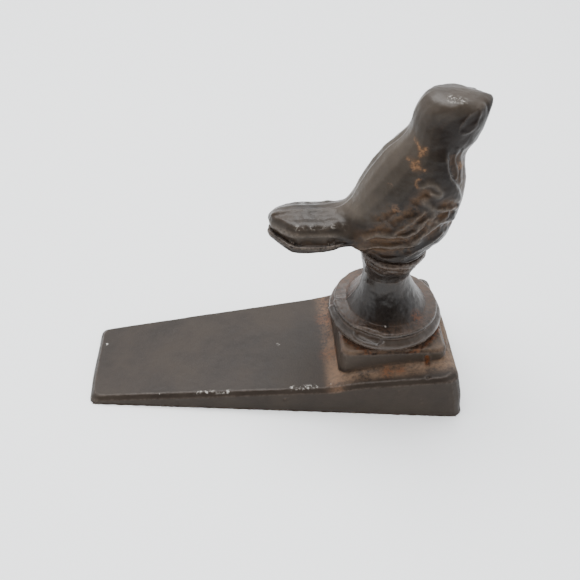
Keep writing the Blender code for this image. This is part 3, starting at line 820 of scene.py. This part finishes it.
relief = side_on * (
    0.55 * ridges - 0.80 * hollows * (1 - 0.7 * ridges)
    + 1.0 * wing - 0.45 * breast_drop + 0.35 * bead(BREAST_FOLDS, 0.7)
    + 0.25 * bead([EYE_LEAF], 0.65) - 0.30 * in_leaf - 0.8 * cheek
    + 0.6 * bead([BROW], 1.8) - 0.35 * bead([BEAK_CREASE], 0.8)
    + 0.45 * bead([BELLY_EDGE], 0.9) - 0.8 * under_belly * soft_step(x, 42, 48)
)
# Under the tail's eave runs a groove; the top carries faint lengthwise lines and a few lumps.
facing_out = soft_step(np.hypot(normals[:, 0], normals[:, 1]), 0.25, 0.6)
groove = np.exp(-((z - 66.6) / 0.6) ** 2) * tail * facing_out
eave = np.exp(-((z - 69.0) / 1.2) ** 2) * tail * facing_out
tail_top = soft_step(normals[:, 2], 0.5, 0.8) * tail * soft_step(z, 66.5, 67.5)
feather_lines = np.sin(y * 1.7 + 0.4 * np.sin(x * 0.5)) * tail_top * (np.abs(y) < 8)
lumpy = 0.5 + 0.5 * np.sin(x * 1.1 + 0.9 * np.sin(x * 0.53))
lumps = np.exp(-((np.abs(y) - 7.9) / 1.1) ** 2) * lumpy * tail_top * soft_step(x, 3, 8)
relief += 0.45 * eave - 2.0 * groove + 0.06 * feather_lines + 0.45 * lumps
# Mould line: a thin flash where the halves meet, and the far half set back a little.
below_crown = 1 - soft_step(z, 116.5, 118.5)
relief += (0.30 * np.exp(-((y - 0.2) / 0.5) ** 2) - 0.18 * np.tanh(y / 0.4)) * below_crown
relief += 0.6 * spot(points, (24.5, 0.3, 78.5), 1.2)
clear_of_seat = soft_step(np.maximum(z - 58.3, np.hypot(x - 43.5, y) - 13), 0, 0.8)
write_points(bird, points + normals * (relief * clear_of_seat)[:, None])
near = y < 0
in_feathers = hollows * side_on
at_rump = 1 - soft_step(np.hypot(x - 30.5, z - 67), 3, 6)
upward = soft_step(normals[:, 2] - 0.35 * normals[:, 0], 0.05, 0.75)
# Painted light on what faces up is weak on the tail, strong on the rump and weaker again towards the crown
# and the breast.
dust_level = np.interp(z, (73, 76, 80, 86, 102, 112), (0.25, 0.85, 0.8, 0.6, 0.6, 0.4))
dust_level *= 1 - 0.8 * soft_step(x, 56, 60) * (z < 106)
mark(
    bird,
    stain=np.maximum.reduce([
        0.8 * in_feathers, 0.6 * breast_drop * (z < 101), 0.15 * tail_top, 0.45 * side_on * at_rump,
        0.95 * near * spot(flank, (45.1, 97.4), 3.2), 0.9 * near * spot(flank, (46.6, 102.4), 2.4),
    ]),
    rust=np.maximum.reduce([
        0.06 * in_feathers, 0.8 * near * spot(flank, (60.3, 95.5), 2.2),
        0.5 * near * spot(flank, (37.5, 89.5), 0.9), 0.4 * near * spot(flank, (39.5, 81.5), 2.6),
        0.9 * near * bead(RUST_STROKES, 0.6),
    ]),
    # Pale specks: scuffs, and on the crown and along the tail's lumps a painted highlight as well.
    scuff=np.maximum.reduce([
        0.85 * spot(points, (55.6, -4.7, 118.6), 2.8), 0.8 * spot(points, (58.2, -5.2, 118.0), 2.2),
        0.35 * lumps,
    ]),
    pitted=np.zeros(len(points)),
    # Painted light: on faces turned up by height, none in the tail's groove so that it reads as painted
    # shade, a little on the tail's side, a painted sheen on the feather ridges and a painted highlight on
    # the near eave.
    dust=upward * dust_level * (1 - groove) + 0.1 * tail * (z < 66)
    + 0.4 * ridges * side_on * (x < 57) + 0.55 * eave * near,
)
bird = grow(bird, cast_skin, {
    "Swell Height": 0.7 * MM, "Swell Size": 6 * MM, "Grain Height": 0.22 * MM, "Grain Size": 1.6 * MM,
    "Pit Depth": 0.0, "Pit Size": 1.5 * MM, "Crispness": 0.0, "Seed": 3.0,
    "Fine Passes": 5, "Wide Passes": 30, "Finish": bird_finish,
}, "bird_casting")
hold_in_box(bird)
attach(bird, "root")
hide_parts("bird")


# ---------------------------------------------------------------------------------------------
# Fixing screw and washer. Bright zinc-plated steel, out of sight in the counterbore under the
# plinth: the screw comes up through washer, wedge and pedestal into the tapped hole in the bird.


def zinc_plate(name):
    """Zinc plate on steel: grey-blue metal with a slightly clouded, brushed shine."""
    finish = bpy.data.materials.new(name)
    finish.use_nodes = True
    tree = finish.node_tree
    tree.nodes.clear()
    place = add(tree, "ShaderNodeTexCoord").outputs["Object"]
    cloud = add(tree, "ShaderNodeTexNoise", {
        "Vector": place, "Scale": 1 / (1.2 * MM), "Detail": 4.0,
    }).outputs["Fac"]
    tint = add(tree, "ShaderNodeMix", {
        0: cloud, 6: linear("A3A6A6"), 7: linear("C2C4C1"),
    }, data_type="RGBA").outputs[2]
    rough = add(tree, "ShaderNodeMapRange", {"Value": cloud, 3: 0.28, 4: 0.44}).outputs[0]
    bump = add(tree, "ShaderNodeBump", {"Height": cloud, "Strength": 0.15, "Distance": 0.05 * MM})
    shader = add(tree, "ShaderNodeBsdfPrincipled", {
        "Base Color": tint, "Roughness": rough, "Metallic": 1.0, "Normal": bump.outputs[0],
    })
    add(tree, "ShaderNodeOutputMaterial", {0: shader.outputs[0]})
    return finish


zinc = zinc_plate("bright zinc plate on steel")
for node in ("fixing_screw", "plain_washer"):
    bpy.data.objects[node].data.materials.clear()
    bpy.data.objects[node].data.materials.append(zinc)


# ---------------------------------------------------------------------------------------------
# Studio. A pale board under soft light from above and behind, and the camera looking down at it.

board = bpy.data.materials.new("white painted board")
board.use_nodes = True
board.node_tree.nodes["Principled BSDF"].inputs["Base Color"].default_value = linear("F7F8F8")
board.node_tree.nodes["Principled BSDF"].inputs["Roughness"].default_value = 0.55
floor_shape = bmesh.new()
bmesh.ops.create_grid(floor_shape, x_segments=1, y_segments=1, size=4)
floor = from_bmesh(floor_shape, "floor")
floor.data.materials.append(board)

world = bpy.data.worlds.new("soft room")
bpy.context.scene.world = world
world.use_nodes = True
room = world.node_tree
background = room.nodes["Background"]
direction = add(room, "ShaderNodeTexCoord").outputs["Generated"]
# The room is white and evenly lit, but dark on the side that the camera stands on.
facing = add(room, "ShaderNodeVectorMath", {0: direction, 1: (-0.06, -0.76, 0.65)}, operation="DOT_PRODUCT")
glow = add(room, "ShaderNodeMapRange", {
    "Value": facing.outputs["Value"], 1: 0.15, 2: 0.95, 3: 1.85, 4: 0.14,
}, interpolation_type="SMOOTHSTEP")
room.links.new(glow.outputs[0], background.inputs["Strength"])
background.inputs["Color"].default_value = linear("F3F6FA")


def lamp(name, place, target, size, power, mirrored=True):
    """A soft square panel. One that isn't mirrored lights the object without showing in its gloss."""
    light = bpy.data.lights.new(name, "AREA")
    light.size = size
    light.energy = power
    fixture = bpy.data.objects.new(name, light)
    fixture.location = place
    fixture.visible_glossy = mirrored
    fixture.rotation_euler = (Vector(target) - Vector(place)).to_track_quat("-Z", "Y").to_euler()
    bpy.context.scene.collection.objects.link(fixture)


lamp("overhead panel", (-0.1, 0.27, 1.05), (0, 0, 0.05), size=0.8, power=23)
lamp("front fill", (0.1, -0.7, 0.2), (0.03, 0, 0.03), size=0.5, power=2.5, mirrored=False)

# The camera stands a quarter of a metre in front of the stop and as far above it. Its turns are
# in radians.
CAMERA_PLACE = (-15.32, -252.58, 255.86)
YAW, PITCH, ROLL = -0.0853, 0.7121, 0.0282
FOCAL_LENGTH = 55.86
camera_data = bpy.data.cameras.new("camera")
camera_data.sensor_width = 36
camera_data.lens = FOCAL_LENGTH
camera_data.clip_start = 0.01
camera = bpy.data.objects.new("camera", camera_data)
look = Vector((-math.sin(YAW) * math.cos(PITCH), math.cos(YAW) * math.cos(PITCH), -math.sin(PITCH)))
level = Vector((math.cos(YAW), math.sin(YAW), 0))
rise = level.cross(look)
right = math.cos(ROLL) * level + math.sin(ROLL) * rise
up = math.cos(ROLL) * rise - math.sin(ROLL) * level
turn = Matrix((right, up, -look)).transposed()
camera.matrix_world = Matrix.Translation(Vector(CAMERA_PLACE) * MM) @ turn.to_4x4()
bpy.context.scene.collection.objects.link(camera)
bpy.context.scene.camera = camera
